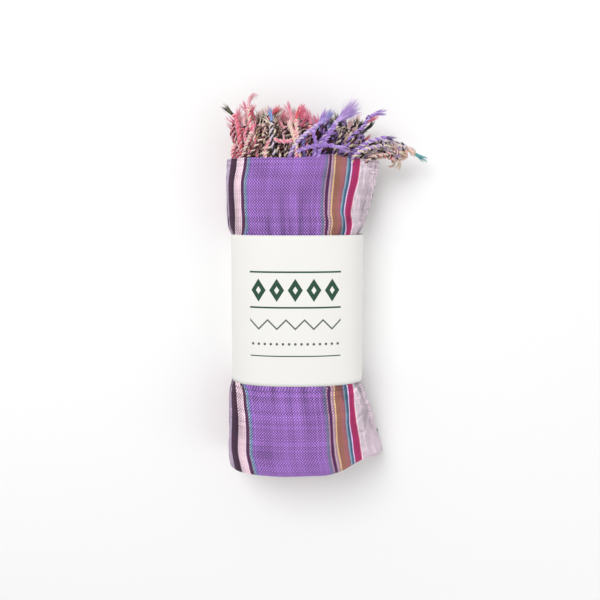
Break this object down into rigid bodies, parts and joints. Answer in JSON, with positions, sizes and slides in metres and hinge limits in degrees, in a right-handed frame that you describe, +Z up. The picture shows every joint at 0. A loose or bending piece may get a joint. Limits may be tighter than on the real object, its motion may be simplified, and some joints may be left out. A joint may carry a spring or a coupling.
{
  "type": "folded kikoi cloth with paper band",
  "caption": "Striped cotton wrap cloth with a knotted fringe, folded in length, rolled into an oval roll and held by a paper band.",
  "frame": {"origin": "on the surface that the roll lies on, under the middle of the roll, on the flat underside of the paper band", "axes": "+X to the right as seen from above, +Y along the roll towards the fringe, +Z up"},
  "size_m": [0.1481, 0.2662, 0.063],
  "materials": {
    "cotton_cloth": "matt plain weave, violet with fine coloured stripes",
    "twisted_yarn": "two-ply twisted cotton in mixed colours",
    "band_paper": "smooth matt white paper"
  },
  "bodies": {
    "root": {"roll_core": "cotton_cloth", "outer_leaf": "cotton_cloth", "under_leaf_1": "cotton_cloth", "under_leaf_2": "cotton_cloth", "under_leaf_3": "cotton_cloth", "fringe_outer_row": "twisted_yarn", "fringe_middle_row": "twisted_yarn", "fringe_inner_row": "twisted_yarn", "paper_band": "band_paper"}
  },
  "joints": []
}
